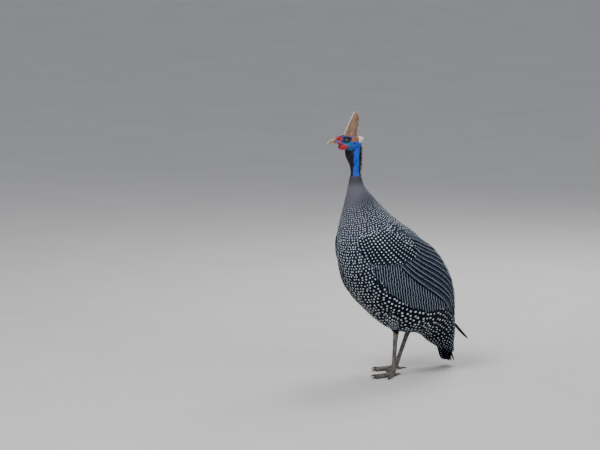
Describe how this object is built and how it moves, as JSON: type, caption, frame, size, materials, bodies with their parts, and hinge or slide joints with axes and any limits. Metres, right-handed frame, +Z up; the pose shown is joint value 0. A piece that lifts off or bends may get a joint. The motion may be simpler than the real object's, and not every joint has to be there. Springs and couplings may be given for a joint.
{
  "type": "standing helmeted guineafowl model",
  "caption": "Life-size still model of a helmeted guineafowl standing upright and alert, head turned to its right, for display and scenes.",
  "frame": {"origin": "middle of the bounding box's footprint, on the floor that the feet stand on", "axes": "+Z up, the body faces -Y, +X is the bird's left"},
  "size_m": [0.1652, 0.3046, 0.494],
  "materials": {
    "plumage": "soft matt feathers, near black with paired white spots",
    "collar": "soft matt feathers, unspotted lilac grey",
    "blue_skin": "bare wrinkled skin, satin",
    "red_skin": "bare fleshy skin, satin",
    "horn": "rough ridged horn",
    "bill": "smooth horn, satin",
    "eye": "wet gloss",
    "scales": "dry scaly skin",
    "claw": "dull horn"
  },
  "bodies": {
    "root": {"bill_lower": "bill", "bill_upper": "bill", "casque": "horn", "cere": "red_skin", "claw_left_hind": "claw", "claw_left_inner": "claw", "claw_left_middle": "claw", "claw_left_outer": "claw", "claw_right_hind": "claw", "claw_right_inner": "claw", "claw_right_middle": "claw", "claw_right_outer": "claw", "eye_left": "eye", "eye_right": "eye", "foot_left": "scales", "foot_right": "scales", "head": "blue_skin", "neck_bare": "blue_skin", "neck_feathered": "collar", "shank_left": "scales", "shank_right": "scales", "shin_left": "plumage", "shin_right": "plumage", "tail": "plumage", "torso": "plumage", "wattle_left": "red_skin", "wattle_right": "red_skin", "wing_left": "plumage", "wing_right": "plumage"}
  },
  "joints": []
}
